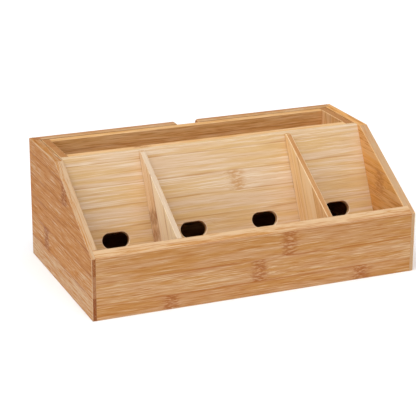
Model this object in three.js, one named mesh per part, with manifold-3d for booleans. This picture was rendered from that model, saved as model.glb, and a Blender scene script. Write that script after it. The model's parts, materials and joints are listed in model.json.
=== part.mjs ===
// Bamboo desk organizer: an open box of glued panels with a leaning backrest in front, three
// compartments for phones and papers, and a tray that lifts out of the bay behind the backrest.
// Millimetres, +Z up. X runs along the long side, the front face looks towards -Y, and the origin
// is the centre of the footprint on the surface that the organizer stands on.

import * as THREE from "three";
import { mergeVertices } from "three/addons/utils/BufferGeometryUtils.js";
import Module from "manifold-3d";

const wasm = await Module();
wasm.setup();

// ---- Driving dimensions ----------------------------------------------------------------------

const WIDTH = 300; // outside, along X
const DEPTH = 170; // outside, along Y
const HEIGHT = 110; // sides and back panel
const FRONT_HEIGHT = 54.5; // top outer edge of the front panel
const SLOPE_RUN = 94; // from the front face back to where the sides reach full height
const WALL = 8; // sides, front and back panel
const LAP = 3.5; // side panel left standing outside the ends of the front and back panels

const BASE_THICKNESS = 5;
const BASE_TOP = 10; // compartment floor above the desk
const TONGUE = 3; // how far the base panel enters the grooves around it
const GROOVE_DEPTH = 3.3;

const BOARD = 5; // thickness of the backrest and the dividers
const LEAN = THREE.MathUtils.degToRad(26.6); // backrest from upright, top towards the back
const BACKREST_TOP = 98; // from the front face back to the backrest's top front edge
const DIVIDER_OFFSET = 70; // divider's middle from the organizer's middle
const DIVIDER_DROP = 0.3; // level end of a divider's top edge below the rim

const HOLE_WIDTH = 24.4; // cable hole, end to end
const HOLE_HEIGHT = 13.6; // cable hole, along the backrest
const HOLE_DOWN = 75; // hole's middle below the rim, along the backrest
const HOLE_OFFSETS = [-106.3, -34.2, 34.2, 106.3]; // hole's middle from the organizer's middle

const NOTCH_WIDTH = 20; // cable notch in the back panel
const NOTCH_DEPTH = 60; // from the rim down to the notch's round bottom
const NOTCH_FLARE = 2.5; // radius of the rounded corners at its mouth

const TRAY_WALL = 7;
const TRAY_FLOOR = 5;
const TRAY_HEIGHT = 40;
const TRAY_DROP = 0.5; // tray rim below the organizer's rim
const TRAY_FRONT = 104.5; // from the front face back to the tray's front
const TRAY_SIDE_PLAY = 1;

const LEDGE = 8; // section of the two ledges that carry the tray
const LEDGE_LENGTH = 50;

const GLUE_GAP = 0.3; // between a leaning face and the piece glued against it
const CUT_MARGIN = 5; // how far a cutting solid runs past the faces that it cuts
const ARC_STEPS = 8; // steps in a quarter circle

// ---- Places worked out from them ---------------------------------------------------------------

const frontY = -DEPTH / 2;
const backY = DEPTH / 2;
const innerHalf = WIDTH / 2 - WALL;
const lapHalf = WIDTH / 2 - LAP;
const innerFrontY = frontY + WALL;
const innerBackY = backY - WALL;
const slope = (HEIGHT - FRONT_HEIGHT) / SLOPE_RUN;

// Height of the sloping top edge of the sides at a given y.
const slopeZ = (y) => FRONT_HEIGHT + (y - frontY) * slope;

// The backrest's front face: its y at a given height.
const backrestY = (z) => frontY + BACKREST_TOP - (HEIGHT - z) * Math.tan(LEAN);
const boardRun = BOARD / Math.cos(LEAN); // thickness measured level, from front to back
const gapRun = GLUE_GAP / Math.cos(LEAN);

const baseBottom = BASE_TOP - BASE_THICKNESS;
const trayTop = HEIGHT - TRAY_DROP;
const trayBottom = trayTop - TRAY_HEIGHT;
const trayHalf = innerHalf - TRAY_SIDE_PLAY;
const trayFrontY = frontY + TRAY_FRONT;
const trayBackY = innerBackY - TRAY_SIDE_PLAY;

// ---- Helpers -------------------------------------------------------------------------------------

const X_AXIS = new THREE.Vector3(1, 0, 0);
const Y_AXIS = new THREE.Vector3(0, 1, 0);
const Z_AXIS = new THREE.Vector3(0, 0, 1);

// A closed outline of [a, b] corners.
function outline(corners) {
  return new THREE.Shape(corners.map(([a, b]) => new THREE.Vector2(a, b)));
}

// A prism of a shape drawn in Y and Z, running along +X from x = 0.
function prismAlongX(shape, length) {
  const geometry = new THREE.ExtrudeGeometry(shape, { depth: length, bevelEnabled: false });
  return geometry.applyMatrix4(new THREE.Matrix4().makeBasis(Y_AXIS, Z_AXIS, X_AXIS));
}

// A prism of a shape drawn in X and Z, running along +Y from y = 0.
function prismAlongY(shape, length) {
  const geometry = new THREE.ExtrudeGeometry(shape, { depth: length, bevelEnabled: false });
  const minusY = Y_AXIS.clone().negate();
  geometry.applyMatrix4(new THREE.Matrix4().makeBasis(X_AXIS, Z_AXIS, minusY));
  return geometry.translate(0, length, 0);
}

// A block between any two opposite corners.
function block([x0, y0, z0], [x1, y1, z1]) {
  const geometry = new THREE.BoxGeometry(Math.abs(x1 - x0), Math.abs(y1 - y0), Math.abs(z1 - z0));
  return geometry.translate((x0 + x1) / 2, (y0 + y1) / 2, (z0 + z1) / 2);
}

// A stadium, its length along the shape's first axis, centred on the shape's origin.
function stadium(length, width) {
  const radius = width / 2;
  const reach = length / 2 - radius;
  const shape = new THREE.Shape();
  shape.absarc(reach, 0, radius, -Math.PI / 2, Math.PI / 2, false);
  shape.absarc(-reach, 0, radius, Math.PI / 2, (3 * Math.PI) / 2, false);
  return new THREE.Shape(shape.getPoints(ARC_STEPS));
}

function toSolid(geometry) {
  const bare = geometry.clone();
  bare.deleteAttribute("normal");
  bare.deleteAttribute("uv");
  const merged = mergeVertices(bare, 1e-4);
  return new wasm.Manifold(
    new wasm.Mesh({
      numProp: 3,
      vertProperties: new Float32Array(merged.attributes.position.array),
      triVerts: new Uint32Array(merged.index.array),
    }),
  );
}

function toGeometry(solid) {
  const result = solid.getMesh();
  const geometry = new THREE.BufferGeometry();
  geometry.setAttribute("position", new THREE.BufferAttribute(result.vertProperties, 3));
  geometry.setIndex(new THREE.BufferAttribute(result.triVerts, 1));
  geometry.computeVertexNormals();
  return geometry;
}

// What is left of a body once every cutter has been taken away from it.
function cut(body, cutters) {
  const solid = cutters.reduce((rest, cutter) => rest.subtract(toSolid(cutter)), toSolid(body));
  return toGeometry(solid);
}

// ---- Materials -----------------------------------------------------------------------------------

function bamboo(color, roughness) {
  return new THREE.MeshStandardMaterial({ color, roughness, metalness: 0 });
}

const panelBamboo = () => bamboo(0xc69563, 0.5);
const boardBamboo = () => bamboo(0xd6b38c, 0.5);
const dividerBamboo = () => bamboo(0xd9a670, 0.5);
const trayBamboo = () => bamboo(0xc28a50, 0.5);
const baseBamboo = () => bamboo(0xc89a68, 0.6);

// ---- The assembly --------------------------------------------------------------------------------

const organizer = new THREE.Group();

function addPiece(parent, name, geometry, material, x = 0, y = 0, z = 0) {
  const mesh = new THREE.Mesh(geometry, material);
  mesh.name = name;
  mesh.position.set(x, y, z);
  parent.add(mesh);
  return mesh;
}

// A side panel: level top at the back, sloping down to the front. Its inner face is rebated at both
// ends for the front and back panels, and grooved for the base. Side is -1 on the left, 1 on the
// right.
function addSide(name, side) {
  const profile = outline([
    [frontY, 0],
    [backY, 0],
    [backY, HEIGHT],
    [frontY + SLOPE_RUN, HEIGHT],
    [frontY, FRONT_HEIGHT],
  ]);
  const panelX = side > 0 ? innerHalf : -WIDTH / 2;
  const panel = prismAlongX(profile, WALL).translate(panelX, 0, 0);
  // A cutter from inside the box to a given depth in the panel's inner face.
  const cutter = (depth, [y0, z0], [y1, z1]) =>
    block([side * (innerHalf - CUT_MARGIN), y0, z0], [side * (innerHalf + depth), y1, z1]);
  const rebate = WALL - LAP;
  const under = -CUT_MARGIN;
  const over = HEIGHT + CUT_MARGIN;
  const geometry = cut(panel, [
    cutter(rebate, [frontY - CUT_MARGIN, under], [innerFrontY, over]),
    cutter(rebate, [innerBackY, under], [backY + CUT_MARGIN, over]),
    cutter(GROOVE_DEPTH, [frontY, baseBottom], [backY, BASE_TOP]),
  ]);
  addPiece(organizer, name, geometry, panelBamboo());
}

// The front panel: its top edge is bevelled to run on from the slope of the sides.
function addFrontPanel() {
  const grooveY = innerFrontY - GROOVE_DEPTH;
  const profile = outline([
    [frontY, 0],
    [innerFrontY, 0],
    [innerFrontY, baseBottom],
    [grooveY, baseBottom],
    [grooveY, BASE_TOP],
    [innerFrontY, BASE_TOP],
    [innerFrontY, slopeZ(innerFrontY)],
    [frontY, FRONT_HEIGHT],
  ]);
  addPiece(organizer, "front_panel", prismAlongX(profile, 2 * lapHalf), panelBamboo(), -lapHalf);
}

// The back panel, with a cable notch that is open at the rim, round at the bottom, and eased by an
// arc at each corner of its mouth.
function addBackPanel() {
  const half = NOTCH_WIDTH / 2;
  const flareZ = HEIGHT - NOTCH_FLARE;
  const flareX = half + NOTCH_FLARE;
  const profile = new THREE.Shape();
  profile.moveTo(-lapHalf, 0);
  profile.lineTo(lapHalf, 0);
  profile.lineTo(lapHalf, HEIGHT);
  profile.lineTo(flareX, HEIGHT);
  profile.absarc(flareX, flareZ, NOTCH_FLARE, Math.PI / 2, Math.PI, false);
  profile.absarc(0, HEIGHT - NOTCH_DEPTH + half, half, 0, -Math.PI, true);
  profile.absarc(-flareX, flareZ, NOTCH_FLARE, 0, Math.PI / 2, false);
  profile.lineTo(-lapHalf, HEIGHT);
  const flat = new THREE.Shape(profile.getPoints(ARC_STEPS));
  const panel = prismAlongY(flat, WALL).translate(0, innerBackY, 0);
  const groove = block(
    [-lapHalf - CUT_MARGIN, innerBackY - CUT_MARGIN, baseBottom],
    [lapHalf + CUT_MARGIN, innerBackY + GROOVE_DEPTH, BASE_TOP],
  );
  addPiece(organizer, "back_panel", cut(panel, [groove]), panelBamboo());
}

// The base panel, held all round in the grooves of the four walls.
function addBase() {
  const halfX = innerHalf + TONGUE;
  const halfY = DEPTH / 2 - WALL + TONGUE;
  const geometry = new THREE.BoxGeometry(2 * halfX, 2 * halfY, BASE_THICKNESS);
  addPiece(organizer, "base_panel", geometry, baseBamboo(), 0, 0, BASE_TOP - BASE_THICKNESS / 2);
}

// The backrest: one board between the sides, leaning back, with level top and bottom edges and a
// row of cable holes cut square to its face.
function addBackrest() {
  const foot = BASE_TOP + GLUE_GAP;
  const profile = outline([
    [backrestY(foot), foot],
    [backrestY(foot) + boardRun, foot],
    [backrestY(HEIGHT) + boardRun, HEIGHT],
    [backrestY(HEIGHT), HEIGHT],
  ]);
  const board = prismAlongX(profile, 2 * innerHalf).translate(-innerHalf, 0, 0);
  const holeZ = HEIGHT - HOLE_DOWN * Math.cos(LEAN);
  const cutterLength = BOARD + 2 * CUT_MARGIN;
  const cutters = HOLE_OFFSETS.map((x) => {
    const cutter = prismAlongY(stadium(HOLE_WIDTH, HOLE_HEIGHT), cutterLength);
    cutter.translate(0, -CUT_MARGIN, 0);
    cutter.rotateX(-LEAN);
    return cutter.translate(x, backrestY(holeZ), holeZ);
  });
  addPiece(organizer, "backrest_board", cut(board, cutters), boardBamboo());
}

// A divider: from the front panel to the backrest. Its top edge lies on the slope of the sides and
// ends in a short level stretch just below the rim.
function addDivider(name, x) {
  const top = HEIGHT - DIVIDER_DROP;
  const faceY = (z) => backrestY(z) - gapRun;
  const profile = outline([
    [innerFrontY, BASE_TOP],
    [faceY(BASE_TOP), BASE_TOP],
    [faceY(top), top],
    [frontY + (top - FRONT_HEIGHT) / slope, top],
    [innerFrontY, slopeZ(innerFrontY)],
  ]);
  addPiece(organizer, name, prismAlongX(profile, BOARD), dividerBamboo(), x - BOARD / 2);
}

// A ledge on the inside of a side panel, carrying one end of the tray.
function addLedge(name, side) {
  const geometry = new THREE.BoxGeometry(LEDGE, LEDGE_LENGTH, LEDGE);
  const x = side * (innerHalf - LEDGE / 2);
  const y = innerBackY - LEDGE_LENGTH / 2;
  addPiece(organizer, name, geometry, panelBamboo(), x, y, trayBottom - LEDGE / 2);
}

// The lift-out tray. Its group stands at the middle of the tray's underside. The end walls run from
// front to back, and the long walls and the floor fit between them.
function addTray() {
  const tray = new THREE.Group();
  const depth = trayBackY - trayFrontY;
  tray.position.set(0, (trayFrontY + trayBackY) / 2, trayBottom);
  organizer.add(tray);

  const longHalf = trayHalf - TRAY_WALL;
  const wallY = depth / 2 - TRAY_WALL / 2;
  const middleZ = TRAY_HEIGHT / 2;
  const longWall = () => new THREE.BoxGeometry(2 * longHalf, TRAY_WALL, TRAY_HEIGHT);
  addPiece(tray, "tray_front", longWall(), trayBamboo(), 0, -wallY, middleZ);
  addPiece(tray, "tray_back", longWall(), trayBamboo(), 0, wallY, middleZ);

  const endWall = () => new THREE.BoxGeometry(TRAY_WALL, depth, TRAY_HEIGHT);
  const endX = trayHalf - TRAY_WALL / 2;
  addPiece(tray, "tray_left", endWall(), trayBamboo(), -endX, 0, middleZ);
  addPiece(tray, "tray_right", endWall(), trayBamboo(), endX, 0, middleZ);

  const floor = new THREE.BoxGeometry(2 * longHalf, depth - 2 * TRAY_WALL, TRAY_FLOOR);
  addPiece(tray, "tray_floor", floor, baseBamboo(), 0, 0, TRAY_FLOOR / 2);
}

addSide("left_side", -1);
addSide("right_side", 1);
addFrontPanel();
addBackPanel();
addBase();
addBackrest();
addDivider("divider_left", -DIVIDER_OFFSET);
addDivider("divider_right", DIVIDER_OFFSET);
addLedge("tray_ledge_left", -1);
addLedge("tray_ledge_right", 1);
addTray();

export default organizer;
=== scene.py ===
"""Bamboo desk organizer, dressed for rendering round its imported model.

Every piece of the frame becomes a laminated bamboo board of the same size and in the same place: its
free edges are eased, its glued edges stay crisp, and its faces are divided into the strips that the
board is laminated from. One procedural bamboo, with a palette for each kind of board, reads those
strips from the mesh. Places and the floor's sizes are metres; the sizes of boards, strips and edges
are millimetres.
"""

import json
import math
import random

import bmesh
import bpy
from mathutils import Euler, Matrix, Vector
from mathutils.bvhtree import BVHTree


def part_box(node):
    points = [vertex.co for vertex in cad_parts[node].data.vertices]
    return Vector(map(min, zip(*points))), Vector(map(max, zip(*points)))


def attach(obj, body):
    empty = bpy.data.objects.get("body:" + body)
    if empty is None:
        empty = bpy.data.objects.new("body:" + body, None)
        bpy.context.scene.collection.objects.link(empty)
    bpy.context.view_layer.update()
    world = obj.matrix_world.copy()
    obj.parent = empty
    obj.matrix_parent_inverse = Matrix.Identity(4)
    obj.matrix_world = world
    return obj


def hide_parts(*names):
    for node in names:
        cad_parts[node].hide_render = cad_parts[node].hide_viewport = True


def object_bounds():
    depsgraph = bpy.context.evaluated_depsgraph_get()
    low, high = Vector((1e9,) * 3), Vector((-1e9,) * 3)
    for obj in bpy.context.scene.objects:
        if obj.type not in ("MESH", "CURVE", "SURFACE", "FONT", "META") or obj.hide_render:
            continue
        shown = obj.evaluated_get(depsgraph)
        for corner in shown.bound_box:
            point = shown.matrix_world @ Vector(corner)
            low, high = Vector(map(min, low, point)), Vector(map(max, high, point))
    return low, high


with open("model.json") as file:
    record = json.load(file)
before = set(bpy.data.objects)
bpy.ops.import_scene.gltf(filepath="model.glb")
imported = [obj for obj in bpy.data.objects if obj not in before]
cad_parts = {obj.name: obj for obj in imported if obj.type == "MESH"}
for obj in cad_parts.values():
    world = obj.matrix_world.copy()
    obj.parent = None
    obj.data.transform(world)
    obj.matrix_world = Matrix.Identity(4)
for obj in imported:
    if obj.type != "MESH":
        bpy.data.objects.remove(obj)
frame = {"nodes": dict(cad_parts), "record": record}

CAD_BOX = [list(corner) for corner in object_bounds()]
RECORD = frame["record"]
BODY_OF = {node: body for body, nodes in RECORD["behaviour"]["bodies"].items() for node in nodes}
SLOT_OF = {part["node"]: part["material_slot"] for part in RECORD["subparts"]}

MM = 0.001
X = Vector((1, 0, 0))
Y = Vector((0, 1, 0))
Z = Vector((0, 0, 1))

# ---- Camera ----------------------------------------------------------------------------------------

CAMERA_PLACE = (-0.5148, -1.1970, 0.5103)
CAMERA_AZIMUTH = -22.778  # degrees round +Z; 0 looks along +Y
CAMERA_ELEVATION = 19.407  # degrees that it looks down
CAMERA_ROLL = 0.166  # degrees
CAMERA_LENS = 133.975  # millimetres, as is the sensor
CAMERA_SENSOR = 36.0
CAMERA_SEES = (0.05, 20)  # from how near to how far, in metres


def add_camera():
    data = bpy.data.cameras.new("camera")
    data.lens = CAMERA_LENS
    data.sensor_width = CAMERA_SENSOR
    data.clip_start, data.clip_end = CAMERA_SEES
    camera = bpy.data.objects.new("camera", data)
    camera.location = CAMERA_PLACE
    look = Euler((math.radians(90 - CAMERA_ELEVATION), 0, math.radians(CAMERA_AZIMUTH)))
    roll = Euler((0, 0, math.radians(CAMERA_ROLL)))
    camera.rotation_euler = (look.to_matrix() @ roll.to_matrix()).to_euler()
    bpy.context.scene.collection.objects.link(camera)
    bpy.context.scene.camera = camera


# ---- Boards: what each piece is cut from -------------------------------------------------------------

STRIP = 19.5  # width of the strips in the panels
THIN_STRIP = 18.9  # width of the strips in the dividers
TRAY_STRIP = 18.0
LEDGE_STRIP = 10.0
FRONT_JOINT = 13  # the lowest joint between two strips, above the floor
SIDE_JOINT = 0.5
BACK_JOINT = 6
BACKREST_EDGES = [-11.5, 7.5, 27.5, 45.5, 64.5, 83.5, 102.5, 121.5]  # down from the rim
DIVIDER_REACH = 90  # more than the dividers measure out from the backrest
TRAY_WALL_EDGE = -6  # where the first strip begins, before the piece itself does
TRAY_END_EDGE = -4
TRAY_FLOOR_EDGE = -9
BASE_EDGE = -7
LEDGE_EDGE = -1

PANEL_EASE = 0.6  # radius of the free edges of the panels, the backrest and the ledges
THIN_EASE = 0.5  # and of the dividers, the tray and the base

FLUSH = 0.1  # points nearer than this to a face count as lying in it
FACING = 0.5  # a face looks a given way when its normal has more than this of it


class Board:
    """How one piece is cut from laminated bamboo.

    along is the way that its fibres run, across the way from strip to strip, and inward the way from
    its show face into its thickness. start is a point where all three are counted from. edges are the
    strip boundaries, counted across. knuckles gives the places along chosen strips where a joint of
    the cane shows, tones how dark chosen strips are, from about -1 to 1, and ends how dark their end
    grain is, from 0 to 1; the other strips draw theirs. A face that cuts the fibres aslant is not
    divided: its tone is slant, and it shows as much end grain as slant_end says. wood names the
    palette, where it isn't that of the node's slot.
    """

    def __init__(
        self, node, along, across, inward, start, edges, ease, knuckles=None, tones=None, ends=None,
        slant=0.0, slant_end=0.0, wood=None,
    ):
        self.node = node
        self.along = along
        self.across = across
        self.inward = inward
        self.start = Vector(start)
        self.edges = edges
        self.ease = ease
        self.knuckles = knuckles or {}
        self.tones = tones or {}
        self.ends = ends or {}
        self.slant = slant
        self.slant_end = slant_end
        self.wood = wood or SLOT_OF[node]

    def place(self, point):
        """Millimetres along, across and into the board."""
        offset = (point - self.start) / MM
        return Vector((offset.dot(self.along), offset.dot(self.across), offset.dot(self.inward)))

    def slanted_place(self, point, normal):
        """The same on a face that cuts the fibres aslant, whose streaks run its own length."""
        offset = (point - self.start) / MM
        inward = offset.dot(self.inward)
        return Vector((offset.dot(normal.cross(self.inward)), inward, inward))

    def strip_at(self, distance):
        return sum(distance > edge for edge in self.edges[1:-1])


def strip_edges(first, pitch, reach):
    """Strip boundaries from first on, until one passes reach."""
    count = math.ceil((reach - first) / pitch) + 1
    return [first + i * pitch for i in range(count)]


def size_of(node):
    low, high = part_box(node)
    return (high - low) / MM


def points_of(node):
    return [vertex.co for vertex in frame["nodes"][node].data.vertices]


def show_normal(node, towards):
    """The normal of a node's largest face among those that look roughly the given way."""
    faces = [face for face in frame["nodes"][node].data.polygons if face.normal.dot(towards) > FACING]
    return max(faces, key=lambda face: face.area).normal.copy()


def rim_point(node):
    """The middle of a node's top front edge."""
    points = points_of(node)
    top = max(point.z for point in points)
    return Vector((0, min(p.y for p in points if top - p.z < FLUSH * MM), top))


def bevel_foot():
    """How high the front panel's bevel begins."""
    points = points_of("front_panel")
    front = min(point.y for point in points)
    return max(p.z for p in points if p.y - front < FLUSH * MM) / MM


def outer_panels():
    low, high = CAD_BOX
    height = (high[2] - low[2]) / MM
    side_edges = strip_edges(SIDE_JOINT - STRIP, STRIP, height)
    front_edges = strip_edges(FRONT_JOINT - STRIP, STRIP, FRONT_JOINT + STRIP)
    front_edges += [bevel_foot(), bevel_foot() + STRIP]
    front = Board(
        "front_panel", X, Z, Y, (0, low[1], 0), front_edges, ease=PANEL_EASE,
        knuckles={0: [-81, 97], 1: [0], 2: [28], 3: []},
        tones={0: 0.15, 1: -0.15, 2: 0.1, 3: -0.45},
    )
    left = Board(
        "left_side", Y, Z, X, (low[0], 0, 0), side_edges, ease=PANEL_EASE,
        knuckles={1: [], 2: [40], 3: [], 4: [], 5: [-15], 6: []},
        tones={1: -0.6, 2: -0.15, 3: 0.2, 4: 0.3, 5: 0.15, 6: 0.0},
        ends={1: 1.0, 2: 0.1, 3: 0.6, 4: 0.4, 5: 0.4},
        slant=-0.75, wood="side_bamboo",
    )
    right = Board(
        "right_side", Y, Z, -X, (high[0], 0, 0), side_edges, ease=PANEL_EASE,
        knuckles={1: [38], 2: [], 3: [], 4: [-33], 5: [52]},
        # The deeper tones of strips 1 and 2 are painted shade: they darken the inner face towards the
        # bottom, where the front panel shades it.
        tones={1: 0.5, 2: 0.4, 3: 0.05, 4: 0.0, 5: 0.05},
        ends={1: 0.15, 2: 0.3, 3: 0.2, 4: 0.25, 5: 0.25},
        slant=0.0, slant_end=1.0, wood="right_bamboo",
    )
    back_edges = strip_edges(BACK_JOINT - STRIP, STRIP, height)
    back = Board("back_panel", -X, Z, -Y, (0, high[1], 0), back_edges, ease=PANEL_EASE)
    return [front, left, right, back]


def leaning_boards():
    """The backrest, and the dividers, whose fibres run up the backrest's slope."""
    face = show_normal("backrest_board", -Y)
    up = face.cross(X)
    rim = rim_point("backrest_board")
    yield Board(
        "backrest_board", X, -up, -face, rim, BACKREST_EDGES, ease=PANEL_EASE,
        knuckles={0: [], 1: [], 2: [14], 3: [], 4: [-140], 5: [60]},
        tones={0: -0.2, 1: -0.1, 2: -0.2, 3: 0.0, 4: 0.3, 5: 0.4},
    )
    edges = strip_edges(-THIN_STRIP, THIN_STRIP, DIVIDER_REACH)
    start = (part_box("divider_left")[0].x, rim.y, rim.z)
    yield Board(
        "divider_left", up, face, X, start, edges, ease=THIN_EASE,
        # Strip 1's deeper tone and its two knuckles near the foot are partly the strip's own colour and
        # partly painted shade, darkening the corner where the divider meets the backrest.
        knuckles={1: [-61, -76], 2: [], 3: []},
        tones={1: 0.45, 2: 0.05, 3: 0.1},
        slant=-1.1, wood="pale_lit_bamboo",
    )
    start = (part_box("divider_right")[0].x, rim.y, rim.z)
    yield Board(
        "divider_right", up, face, X, start, edges, ease=THIN_EASE,
        knuckles={1: [], 2: [], 3: []},
        tones={1: 0.3, 2: 0.0, 3: 0.6},
        slant=0.6, slant_end=0.93,
    )


def tray_boards():
    """Long walls and floor with the fibres along X, end walls with upright fibres."""
    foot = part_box("tray_front")[0].z
    wall_edges = strip_edges(TRAY_WALL_EDGE, TRAY_STRIP, size_of("tray_front").z)
    for node, inward in (("tray_front", Y), ("tray_back", -Y)):
        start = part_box(node)[0 if inward.y > 0 else 1].copy()
        start.z = foot
        yield Board(node, X, Z, inward, start, wall_edges, ease=THIN_EASE)
    end_edges = strip_edges(TRAY_END_EDGE, TRAY_STRIP, size_of("tray_left").y)
    for node, inward in (("tray_left", X), ("tray_right", -X)):
        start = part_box(node)[0 if inward.x > 0 else 1].copy()
        start.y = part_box(node)[0].y
        yield Board(node, Z, Y, inward, start, end_edges, ease=THIN_EASE)
    floor_edges = strip_edges(TRAY_FLOOR_EDGE, TRAY_STRIP, size_of("tray_floor").y)
    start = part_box("tray_floor")[1].copy()
    start.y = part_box("tray_floor")[0].y
    yield Board("tray_floor", X, Y, -Z, start, floor_edges, ease=THIN_EASE)


def inner_boards():
    """The base panel and the two ledges under the tray."""
    low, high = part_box("base_panel")
    base_edges = strip_edges(BASE_EDGE, STRIP, size_of("base_panel").y)
    yield Board("base_panel", X, Y, -Z, (0, low.y, high.z), base_edges, ease=THIN_EASE)
    ledge_edges = [LEDGE_EDGE, LEDGE_EDGE + LEDGE_STRIP]
    for node, inward in (("tray_ledge_left", X), ("tray_ledge_right", -X)):
        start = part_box(node)[0 if inward.x > 0 else 1].copy()
        start.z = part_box(node)[0].z
        yield Board(node, Y, Z, inward, start, ledge_edges, ease=PANEL_EASE)


# ---- Shapes: eased edges and strips ------------------------------------------------------------------

JOINT_EASE = 0.12  # radius of glued edges: just enough to show the joint
CONTACT = 0.4  # a neighbour nearer than this is glued on
EASE_STEPS = 3
WELD = 0.01  # points nearer than this are one
CUT_SNAP = 0.001  # a cut that passes a point nearer than this goes through it
FLAT = math.radians(0.5)  # faces that turn less than this are one
SHARP = math.radians(20)  # edges that turn more than this are corners
SMOOTH_BELOW = math.radians(35)
PROBE = 0.5  # spacing of the points that look for a neighbour along an edge
SLANTED = (0.3, 0.8)  # how much of its normal a slanted face has along the fibres
UNBOUNDED = 999.0  # the limits of a face without strips
NO_KNUCKLE = 9999.0  # too far off to show

KNUCKLES_TOLD = 3  # how many knuckles a strip can carry
FIRST_KNUCKLE = (-260, -60)  # where the count of a strip's drawn knuckles begins
KNUCKLE_SPACING = (180, 300)  # along one strip
DRAWN_SEED = (0, 40)
DRAWN_TONE = (-0.4, 0.4)
DRAWN_END = (0.2, 0.6)


def neighbours(node):
    """A search tree of the other pieces that are glued into the same body."""
    points, faces = [], []
    for other, body in BODY_OF.items():
        if other == node or body != BODY_OF[node]:
            continue
        mesh = frame["nodes"][other].data
        shift = len(points)
        points += [vertex.co.copy() for vertex in mesh.vertices]
        faces += [[shift + i for i in face.vertices] for face in mesh.polygons]
    return BVHTree.FromPolygons(points, faces)


def is_glued(point, tree):
    return tree.find_nearest(point)[3] < CONTACT * MM


def bisect(solid, place, normal):
    """Divides every face that a plane crosses. Returns the edges that lie in the plane."""
    everything = [*solid.verts, *solid.edges, *solid.faces]
    cut = bmesh.ops.bisect_plane(
        solid, geom=everything, dist=CUT_SNAP * MM, plane_co=place, plane_no=normal
    )
    return [item for item in cut["geom_cut"] if isinstance(item, bmesh.types.BMEdge)]


def whole_faced(node):
    """The node's solid as a bmesh with each flat face in one piece, but for a face with holes, which
    is divided through the middle of every hole."""
    solid = bmesh.new()
    solid.from_mesh(frame["nodes"][node].data)
    bmesh.ops.remove_doubles(solid, verts=solid.verts, dist=WELD * MM)
    if node == "backrest_board":
        for middle in hole_middles():
            for edge in bisect(solid, middle * X, X):
                edge.seam = True
    bmesh.ops.dissolve_limit(
        solid, angle_limit=FLAT, verts=solid.verts, edges=solid.edges, delimit={"SEAM"}
    )
    return solid


def hole_middles():
    """Where the cable holes are along X."""
    openings = RECORD["physics"]["openings"]
    boxes = [opening["box_m"] for opening in openings if opening["name"].startswith("cable_hole")]
    return [(low[0] + high[0]) / 2 for low, high in boxes]


def corner_edges(solid):
    """Edges that stand out, as opposed to flat ones and inside corners."""
    return [edge for edge in solid.edges if edge.is_convex and edge.calc_face_angle(0) > SHARP]


def split_at_joints(solid, tree):
    """Divides each long corner edge where a glued neighbour begins or ends."""
    for edge in corner_edges(solid):
        start, end = edge.verts[0], edge.verts[1]
        line = end.co - start.co
        probes = max(1, round(line.length / (PROBE * MM)))
        glued = [is_glued(start.co + line * (i + 0.5) / probes, tree) for i in range(probes)]
        changes = [i / probes for i in range(1, probes) if glued[i] != glued[i - 1]]
        done = 0.0
        rest = edge
        vertex = start
        for change in changes:
            share = (change - done) / (1 - done)
            rest, vertex = bmesh.utils.edge_split(rest, vertex, share)
            rest = next(e for e in vertex.link_edges if end in e.verts)
            done = change


def weigh_edges(solid, tree, ease):
    """Sets how far the Bevel modifier sets each corner edge back, as a share of the ease: less on
    an edge that turns less, so that all free edges have the same radius."""
    layer = solid.edges.layers.float.new("bevel_weight_edge")
    for edge in corner_edges(solid):
        middle = (edge.verts[0].co + edge.verts[1].co) / 2
        same_radius = min(1.0, math.tan(edge.calc_face_angle() / 2))
        edge[layer] = JOINT_EASE / ease if is_glued(middle, tree) else same_radius


def rounded(solid, ease):
    """The solid with its weighted edges rounded; the rounded faces have material index 1."""
    mesh = bpy.data.meshes.new("rounding")
    solid.to_mesh(mesh)
    solid.free()
    mesh.materials.append(None)
    mesh.materials.append(None)
    carrier = bpy.data.objects.new("rounding", mesh)
    bpy.context.scene.collection.objects.link(carrier)
    bevel = carrier.modifiers.new("ease", "BEVEL")
    bevel.limit_method = "WEIGHT"
    bevel.width = ease * MM
    bevel.segments = EASE_STEPS
    bevel.material = 1
    bevel.loop_slide = False
    bevel.use_clamp_overlap = False
    graph = bpy.context.evaluated_depsgraph_get()
    result = bmesh.new()
    result.from_mesh(carrier.evaluated_get(graph).data)
    bpy.data.objects.remove(carrier)
    bpy.data.meshes.remove(mesh)
    return result


def slice_into_strips(solid, board):
    """Cuts the faces, not the solid, where one strip of the board meets the next."""
    for edge in board.edges:
        bisect(solid, board.start + board.across * edge * MM, board.across)


def draw_strip(board, index, dice):
    """One strip's seed, tone, knuckles and end grain: the board's own where it gives them, drawn
    otherwise."""
    seed = dice.uniform(*DRAWN_SEED)
    tone = board.tones.get(index, dice.uniform(*DRAWN_TONE))
    place = dice.uniform(*FIRST_KNUCKLE)
    drawn = []
    while len(drawn) < KNUCKLES_TOLD:
        place += dice.uniform(*KNUCKLE_SPACING)
        drawn.append(place)
    told = board.knuckles.get(index, drawn)
    places = [*told, *[NO_KNUCKLE] * KNUCKLES_TOLD][:KNUCKLES_TOLD]
    dark_end = board.ends.get(index, dice.uniform(*DRAWN_END))
    return seed, tone, places, dark_end


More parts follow.
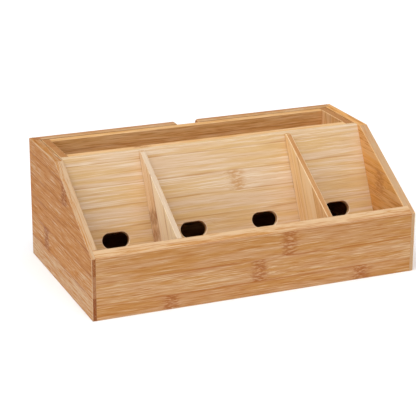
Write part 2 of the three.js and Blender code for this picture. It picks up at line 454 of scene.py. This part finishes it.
def write_grain(solid, board, tree):
    """Stores on the mesh what the bamboo material reads.

    grain is a face corner's place in the board, strip the limits and the seed of a face's strip, look its
    tone, how far it shows end grain and how far it is an eased edge, knuckles the places of the cane's
    joints along it, and dark_end how dark its end grain is.
    """
    dice = random.Random(board.node)
    strips = [draw_strip(board, i, dice) for i in range(len(board.edges) - 1)]
    grain = solid.loops.layers.float_vector.new("grain")
    strip = solid.faces.layers.float_vector.new("strip")
    look = solid.faces.layers.float_vector.new("look")
    knuckles = solid.faces.layers.float_vector.new("knuckles")
    dark_end = solid.faces.layers.float.new("dark_end")
    for face in solid.faces:
        middle = face.calc_center_median()
        index = board.strip_at(board.place(middle).y)
        seed, tone, places, face[dark_end] = strips[index]
        eased = face.material_index == 1 and not is_glued(middle, tree)
        end = abs(face.normal.dot(board.along))
        limits = (board.edges[index], board.edges[index + 1])
        slanted = SLANTED[0] < end < SLANTED[1] and not eased
        if slanted:
            seed = strips[0][0]
            tone = board.slant
            places = [NO_KNUCKLE] * KNUCKLES_TOLD
            end = board.slant_end
            limits = (-UNBOUNDED, UNBOUNDED)
        for corner in face.loops:
            point = corner.vert.co
            corner[grain] = board.slanted_place(point, face.normal) if slanted else board.place(point)
        face[strip] = (*limits, seed)
        face[look] = (tone, end, float(eased))
        face[knuckles] = places
        face.material_index = 0
        face.smooth = True


def build_board(board, woods):
    tree = neighbours(board.node)
    solid = whole_faced(board.node)
    split_at_joints(solid, tree)
    weigh_edges(solid, tree, board.ease)
    solid = rounded(solid, board.ease)
    slice_into_strips(solid, board)
    write_grain(solid, board, tree)
    mesh = bpy.data.meshes.new(board.node + "_board")
    solid.to_mesh(mesh)
    solid.free()
    mesh.set_sharp_from_angle(angle=SMOOTH_BELOW)
    mesh.materials.clear()
    mesh.materials.append(woods[board.wood])
    piece = bpy.data.objects.new(board.node + "_board", mesh)
    bpy.context.scene.collection.objects.link(piece)
    shading = piece.modifiers.new("flat faces stay flat", "WEIGHTED_NORMAL")
    shading.keep_sharp = True
    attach(piece, BODY_OF[board.node])
    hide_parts(board.node)


# ---- Bamboo ----------------------------------------------------------------------------------------


def srgb(red, green, blue):
    """A colour for a shader from its usual 0 to 255 numbers."""
    shares = (channel / 255 for channel in (red, green, blue))
    linear = (s / 12.92 if s <= 0.04045 else ((s + 0.055) / 1.055) ** 2.4 for s in shares)
    return (*linear, 1.0)


class Palette:
    """The colours of one bamboo: the palest and the deepest wood, the rosy and the golden wood
    between them, the fibres and knuckles in it, and its end grain."""

    def __init__(
        self, pale, rosy, golden, deep, fibre, knuckle, end, contrast=1.0, reach=1.0, ply=0.0,
        inner_tone=-0.5,
    ):
        self.pale = srgb(*pale)
        self.rosy = srgb(*rosy)
        self.golden = srgb(*golden)
        self.deep = srgb(*deep)
        self.fibre = srgb(*fibre)
        self.knuckle = srgb(*knuckle)
        self.end = srgb(*end)
        self.contrast = contrast
        self.reach = reach  # how far the streaks run, as a share of their usual length
        self.ply = ply  # thickness of the outer layer of strips, 0 where there is only one
        self.inner_tone = inner_tone  # what the inner layer adds to the tone

    def long(self, scale):
        """A noise's scale, drawn out as far as this bamboo's streaks run."""
        along, across, inward = scale
        return (along / self.reach, across, inward)


PALETTES = {
    "panel_bamboo": Palette(
        pale=(208, 174, 135), rosy=(190, 144, 101), golden=(185, 133, 77), deep=(172, 114, 60),
        fibre=(162, 94, 44), knuckle=(148, 78, 34), end=(146, 94, 58), ply=4.0,
    ),
    "side_bamboo": Palette(
        pale=(195, 164, 130), rosy=(182, 125, 67), golden=(176, 114, 47), deep=(158, 94, 35),
        fibre=(140, 73, 24), knuckle=(124, 56, 14), end=(162, 113, 78), contrast=1.05, ply=4.0,
    ),
    "right_bamboo": Palette(
        pale=(212, 174, 128), rosy=(226, 174, 114), golden=(222, 162, 90), deep=(190, 128, 62),
        fibre=(190, 126, 66), knuckle=(182, 120, 66), end=(181, 152, 121), contrast=0.8, ply=4.0,
        inner_tone=0.1,
    ),
    "board_bamboo": Palette(
        pale=(226, 205, 178), rosy=(214, 184, 151), golden=(210, 173, 121), deep=(198, 156, 104),
        fibre=(186, 136, 80), knuckle=(192, 140, 84), end=(170, 124, 80), contrast=0.85, reach=1.8,
    ),
    "divider_bamboo": Palette(
        pale=(236, 210, 172), rosy=(240, 208, 164), golden=(236, 198, 142), deep=(206, 150, 92),
        fibre=(170, 110, 60), knuckle=(166, 108, 60), end=(174, 124, 78), contrast=0.6, reach=2.0,
    ),
    # The left divider's lighter copy of the divider bamboo: partly paler wood, partly painted light that
    # brightens its face in the shaded compartment.
    "pale_lit_bamboo": Palette(
        pale=(202, 178, 152), rosy=(250, 228, 194), golden=(248, 222, 180), deep=(204, 146, 90),
        fibre=(170, 108, 58), knuckle=(150, 88, 44), end=(174, 124, 78), contrast=0.45, reach=2.0,
    ),
    "tray_bamboo": Palette(
        pale=(230, 192, 144), rosy=(220, 176, 124), golden=(216, 166, 106), deep=(196, 142, 82),
        fibre=(174, 114, 60), knuckle=(160, 100, 54), end=(170, 118, 72), contrast=1.2,
    ),
    "base_bamboo": Palette(
        pale=(206, 164, 118), rosy=(194, 150, 106), golden=(190, 142, 92), deep=(170, 118, 72),
        fibre=(150, 94, 52), knuckle=(140, 84, 44), end=(150, 100, 64),
    ),
}


class Graph:
    """A material's nodes, with short calls for making and joining them."""

    def __init__(self, name):
        self.material = bpy.data.materials.new(name)
        self.material.use_nodes = True
        self.tree = self.material.node_tree
        self.tree.nodes.clear()

    def feed(self, socket, value):
        if isinstance(value, bpy.types.NodeSocket):
            self.tree.links.new(value, socket)
        else:
            socket.default_value = value

    def node(self, kind, inputs=(), **settings):
        made = self.tree.nodes.new(kind)
        for name, value in settings.items():
            setattr(made, name, value)
        for key, value in dict(inputs).items():
            self.feed(made.inputs[key], value)
        return made

    def surface(self, inputs):
        """Gives the material a surface with these inputs. Returns the material."""
        shader = self.node("ShaderNodeBsdfPrincipled", inputs)
        self.node("ShaderNodeOutputMaterial", {"Surface": shader.outputs[0]})
        return self.material

    def math(self, operation, first, *values):
        """The operation on the first two values, then on its result and the next, and so on."""
        for value in values:
            first = self.node("ShaderNodeMath", {0: first, 1: value}, operation=operation).outputs[0]
        return first

    def absolute(self, value):
        return self.node("ShaderNodeMath", {0: value}, operation="ABSOLUTE").outputs[0]

    def add(self, *values):
        return self.math("ADD", *values)

    def less(self, first, second):
        return self.math("SUBTRACT", first, second)

    def times(self, *values):
        return self.math("MULTIPLY", *values)

    def least(self, *values):
        return self.math("MINIMUM", *values)

    def swing(self, value, size):
        """A 0 to 1 value as a swing of the given size round nothing."""
        return self.times(self.less(value, 0.5), size)

    def rise(self, value, low, high):
        """0 below low, 1 above high, smooth between."""
        return self.ramp(value, low, high, 0.0, 1.0)

    def fall(self, value, low, high):
        """1 below low, 0 above high, smooth between."""
        return self.ramp(value, low, high, 1.0, 0.0)

    def ramp(self, value, low, high, from_low, from_high):
        """from_low below low, from_high above high, smooth between."""
        made = self.node(
            "ShaderNodeMapRange",
            {"Value": value, "From Min": low, "From Max": high, "To Min": from_low, "To Max": from_high},
            interpolation_type="SMOOTHSTEP",
        )
        return made.outputs["Result"]

    def mix(self, share, first, second):
        made = self.node("ShaderNodeMix", {0: share, 6: first, 7: second}, data_type="RGBA")
        return made.outputs[2]

    def vector(self, *parts):
        return self.node("ShaderNodeCombineXYZ", enumerate(parts)).outputs[0]

    def read(self, attribute):
        return self.node("ShaderNodeAttribute", attribute_name=attribute, attribute_type="GEOMETRY")

    def parts(self, attribute):
        read = self.read(attribute)
        split = self.node("ShaderNodeSeparateXYZ", {0: read.outputs["Vector"]})
        return split.outputs[0], split.outputs[1], split.outputs[2]

    def stretched(self, place, scale):
        scaled = self.node("ShaderNodeVectorMath", {0: place, 1: scale}, operation="MULTIPLY")
        return scaled.outputs[0]

    def noise(self, place, scale, detail=2.0, roughness=0.5):
        """Fractal noise, 0 to 1, with a scale in cycles to a unit of place."""
        made = self.node(
            "ShaderNodeTexNoise",
            {"Vector": self.stretched(place, scale), "Scale": 1.0, "Detail": detail,
             "Roughness": roughness},
        )
        return made.outputs["Fac"]

    def cells(self, place, scale):
        """Distance to the nearest of many scattered points."""
        made = self.node(
            "ShaderNodeTexVoronoi", {"Vector": self.stretched(place, scale), "Scale": 1.0},
            feature="F1",
        )
        return made.outputs["Distance"]


# The scales of the pattern's noises: cycles per millimetre along, across and inward.
WANDERS = (0.05, 0.3, 0.3)  # how far a knuckle lies from its place
CURLS = (0.009, 0.05, 0.05)  # where the fibres curl
DRIFTS = (0.008, 0.04, 0.04)  # slow bends of the fibres
FLARES = (0.1, 0.25, 0.25)  # quick bends
FINE_STREAKS = (0.05, 1.25, 1.25)
MEDIUM_STREAKS = (0.018, 0.55, 0.55)
BROAD_STREAKS = (0.008, 0.06, 0.06)
HUES = (0.014, 0.17, 0.17)
BUNDLES = (0.055, 0.7, 0.7)
BUNDLE_PATCHES = (0.015, 0.12, 0.12)
KNUCKLE_SPOTS = (0.17, 0.65, 0.65)
GLUE = (0.016, 0.0, 0.0)
PORES = (0.1, 0.9, 0.9)
WEAR = (0.08, 0.3, 0.3)

SEED_SHIFT = (17.0, 5.3)  # how far a seed of 1 moves the pattern along and across
PLY_SEED = 3.7  # what the inner layer adds to the seed
WANDER = 8.0  # how far apart a knuckle's parts can lie along the strip
DRIFT = 2.0  # how far the slow bends can lie apart across it
NEAR_BEND = 5.0  # the same for quick bends beside a knuckle
CURL_BEND = 2.5  # and where the fibres curl
KNUCKLE_CORE = (2.0, 12.0)  # where a knuckle's spots begin to fade, and where they end
KNUCKLE_REACH = (1.0, 22.0)  # the same for how it bends the fibres
GLUE_LINE = (0.2, 0.7)  # and for the line at the edge of a strip
GLUE_MARGIN = (0.2, 3.0)  # and for the redder wood beside that
END_GRAIN = (0.8, 0.95)  # how much of its normal a face of end grain has along the fibres
TONE_SHARE = 0.45  # how far a tone of 1 moves the shade
SPECULAR = 0.05
RELIEF_STRENGTH = 0.35
RELIEF_DEPTH = 0.1


class Grain:
    """The sockets that the parts of the bamboo pattern share."""


def read_grain(g, palette):
    """Reads the mesh's attributes, and bends the fibres a little, more so beside a knuckle."""
    s = Grain()
    s.along, s.across, s.inward = g.parts("grain")
    s.low, s.high, s.seed = g.parts("strip")
    s.tone, s.end, s.eased = g.parts("look")
    s.dark_end = g.read("dark_end").outputs["Fac"]
    if palette.ply:
        second = g.math("GREATER_THAN", s.inward, palette.ply)
        s.seed = g.add(s.seed, g.times(second, PLY_SEED))
        s.tone = g.add(s.tone, g.times(second, palette.inner_tone))
    shift_along = g.times(s.seed, SEED_SHIFT[0])
    shift_across = g.times(s.seed, SEED_SHIFT[1])
    s.straight = g.vector(g.add(s.along, shift_along), g.add(s.across, shift_across), s.inward)
    wander = g.swing(g.noise(s.straight, WANDERS), WANDER)
    places = g.parts("knuckles")
    wandering = g.add(s.along, wander)
    s.from_knuckle = g.least(*[g.absolute(g.less(wandering, place)) for place in places])
    s.near = g.fall(s.from_knuckle, *KNUCKLE_REACH)
    s.curly = g.rise(g.noise(s.straight, CURLS, detail=1.0), 0.5, 0.68)
    drift = g.swing(g.noise(s.straight, DRIFTS, detail=1.0), DRIFT)
    bending = g.add(g.times(s.near, NEAR_BEND), g.times(s.curly, CURL_BEND))
    flare = g.times(bending, g.less(g.noise(s.straight, FLARES), 0.5))
    bent_across = g.add(s.across, shift_across, drift, flare)
    s.bent = g.vector(g.add(s.along, shift_along), bent_across, s.inward)
    return s


def wood_colour(g, s, palette):
    """Streaks that run with the fibres: paler and deeper, and rosy and golden."""
    fine = g.swing(g.noise(s.bent, palette.long(FINE_STREAKS), detail=3.0, roughness=0.55), 2.0)
    medium = g.swing(g.noise(s.bent, palette.long(MEDIUM_STREAKS), detail=1.0), 0.85)
    broad = g.swing(g.noise(s.bent, palette.long(BROAD_STREAKS), detail=1.0), 0.5)
    streaks = g.times(g.add(fine, medium, broad), palette.contrast)
    shade = g.add(0.5, streaks, g.times(s.tone, TONE_SHARE))
    hue = g.noise(s.bent, palette.long(HUES))
    wood = g.mix(g.rise(hue, 0.38, 0.62), palette.rosy, palette.golden)
    lower = g.mix(g.rise(shade, 0.0, 0.5), palette.pale, wood)
    colour = g.mix(g.rise(shade, 0.5, 1.0), lower, palette.deep)
    return colour, fine


def add_fibres(g, s, palette, colour):
    """Dark fibre bundles: dashes on the faces, dots in the end grain."""
    bundle = g.fall(g.cells(s.bent, palette.long(BUNDLES)), 0.08, 0.34)
    patches = g.rise(g.noise(s.bent, BUNDLE_PATCHES), 0.48, 0.66)
    strength = g.add(0.06, g.times(patches, 0.55), g.times(s.near, 0.3), g.times(s.curly, 0.2))
    fibres = g.times(bundle, strength, palette.contrast)
    return g.mix(fibres, colour, palette.fibre), fibres


def add_knuckles(g, s, palette, colour):
    """The cane's joints: reddish and pale spots that crowd together across the strip."""
    core = g.fall(s.from_knuckle, *KNUCKLE_CORE)
    spots = g.noise(s.straight, KNUCKLE_SPOTS, roughness=0.6)
    dark = g.times(g.rise(g.add(spots, g.times(core, 0.15)), 0.5, 0.74), core)
    pale = g.times(g.fall(spots, 0.34, 0.5), core)
    tinted = g.mix(g.times(core, 0.25), colour, palette.fibre)
    darkened = g.mix(g.times(dark, 0.6), tinted, palette.knuckle)
    return g.mix(g.times(pale, 0.35), darkened, palette.pale), dark


def add_joints(g, s, palette, colour):
    """The glue line between two strips, which comes and goes, with redder wood beside it."""
    to_low = g.less(s.across, s.low)
    to_high = g.less(s.high, s.across)
    line = g.fall(g.least(to_low, to_high), *GLUE_LINE)
    along = g.noise(s.straight, GLUE)
    shown = g.ramp(along, 0.38, 0.6, 0.2, 0.75)
    margin = g.times(g.fall(to_high, *GLUE_MARGIN), g.rise(along, 0.45, 0.65))
    redder = g.mix(g.times(margin, 0.45), colour, palette.fibre)
    return g.mix(g.times(line, shown), redder, palette.fibre)


def add_ends_and_edges(g, s, palette, colour):
    """Darker end grain, and edges that easing and handling have left paler."""
    cut = g.rise(s.end, *END_GRAIN)
    pores = g.swing(g.noise(s.straight, PORES), 2.4)
    darkness = g.rise(g.add(s.dark_end, pores), 0.1, 1.1)
    end_colour = g.mix(darkness, palette.end, palette.knuckle)
    ended = g.mix(g.times(cut, 0.85), colour, end_colour)
    worn = g.times(s.eased, g.ramp(g.noise(s.straight, WEAR), 0.3, 0.7, 0.4, 0.75))
    return g.mix(worn, ended, palette.pale)


def bamboo(name):
    palette = PALETTES[name]
    g = Graph(name)
    s = read_grain(g, palette)
    colour, fine = wood_colour(g, s, palette)
    colour, fibres = add_fibres(g, s, palette, colour)
    colour, knuckle = add_knuckles(g, s, palette, colour)
    colour = add_joints(g, s, palette, colour)
    colour = add_ends_and_edges(g, s, palette, colour)
    roughness = g.add(0.46, g.times(fine, 0.12), g.times(fibres, 0.2), g.times(s.end, 0.12))
    relief = g.add(g.times(fine, 0.5), g.times(fibres, -0.8), g.times(knuckle, 0.4))
    bump = g.node(
        "ShaderNodeBump", {"Height": relief, "Strength": RELIEF_STRENGTH, "Distance": RELIEF_DEPTH * MM}
    )
    return g.surface({
        "Base Color": colour,
        "Roughness": roughness,
        "Normal": bump.outputs[0],
        "Specular IOR Level": SPECULAR,
    })


# ---- Floor and light ---------------------------------------------------------------------------------

FLOOR_RADIUS = 4.3  # where the flat floor ends and curves up
COVE_RADIUS = 0.7
COVE_STEPS = 12
FLOOR_SIDES = 96
FLOOR_WELD = 0.0001
SOFTBOXES = {
    # name: (azimuth it shines from, its elevation, strength, apparent size), angles in degrees
    "light_top": (-26, 74, 2.2, 60),
    "light_left": (-65, 42, 1.32, 70),
    "light_right": (20, 36, 0.12, 70),
}
SKY = 0.2
WHITE = (1, 1, 1, 1)
MOTTLE = (9.0, 9.0, 9.0)  # cycles per metre


def floor_material():
    g = Graph("pale_floor")
    place = g.node("ShaderNodeTexCoord").outputs["Object"]
    mottle = g.noise(place, MOTTLE, detail=4.0)
    colour = g.mix(mottle, srgb(250, 251, 254), srgb(253, 254, 255))
    return g.surface({"Base Color": colour, "Roughness": 0.85})


def floor_profile():
    """Radius and height from the floor's middle to the top of the cove round it."""
    flat = [(0.0, 0.0), (FLOOR_RADIUS / 2, 0.0), (FLOOR_RADIUS - COVE_RADIUS / 2, 0.0)]
    turns = [math.pi / 2 * i / COVE_STEPS for i in range(COVE_STEPS + 1)]
    arc = [(FLOOR_RADIUS + COVE_RADIUS * math.sin(t), COVE_RADIUS * (1 - math.cos(t))) for t in turns]
    return flat + arc


def add_floor():
    """A round studio floor whose rim curves up all round, so that it is also the backdrop."""
    mesh = bpy.data.meshes.new("floor")
    bowl = bmesh.new()
    points = [bowl.verts.new((radius, 0, height)) for radius, height in floor_profile()]
    edges = [bowl.edges.new(pair) for pair in zip(points, points[1:])]
    bmesh.ops.spin(
        bowl, geom=points + edges, axis=Z, cent=(0, 0, 0), angle=2 * math.pi, steps=FLOOR_SIDES
    )
    bmesh.ops.remove_doubles(bowl, verts=bowl.verts, dist=FLOOR_WELD)
    bmesh.ops.recalc_face_normals(bowl, faces=bowl.faces)
    for face in bowl.faces:
        face.smooth = True
    bowl.to_mesh(mesh)
    bowl.free()
    mesh.materials.append(floor_material())
    floor = bpy.data.objects.new("floor", mesh)
    floor.location.z = CAD_BOX[0][2]
    bpy.context.scene.collection.objects.link(floor)


def add_lights():
    for name, (azimuth, elevation, strength, size) in SOFTBOXES.items():
        data = bpy.data.lights.new(name, "SUN")
        data.energy = strength
        data.angle = math.radians(size)
        light = bpy.data.objects.new(name, data)
        light.rotation_euler = (math.radians(90 - elevation), 0, math.radians(azimuth))
        bpy.context.scene.collection.objects.link(light)
    world = bpy.data.worlds.new("studio")
    world.use_nodes = True
    background = world.node_tree.nodes["Background"]
    background.inputs["Color"].default_value = WHITE
    background.inputs["Strength"].default_value = SKY
    bpy.context.scene.world = world
    bpy.context.scene.view_settings.view_transform = "Standard"


# ---- The scene ---------------------------------------------------------------------------------------

add_camera()
woods = {name: bamboo(name) for name in PALETTES}
for described in (*outer_panels(), *leaning_boards(), *tray_boards(), *inner_boards()):
    build_board(described, woods)
add_floor()
add_lights()
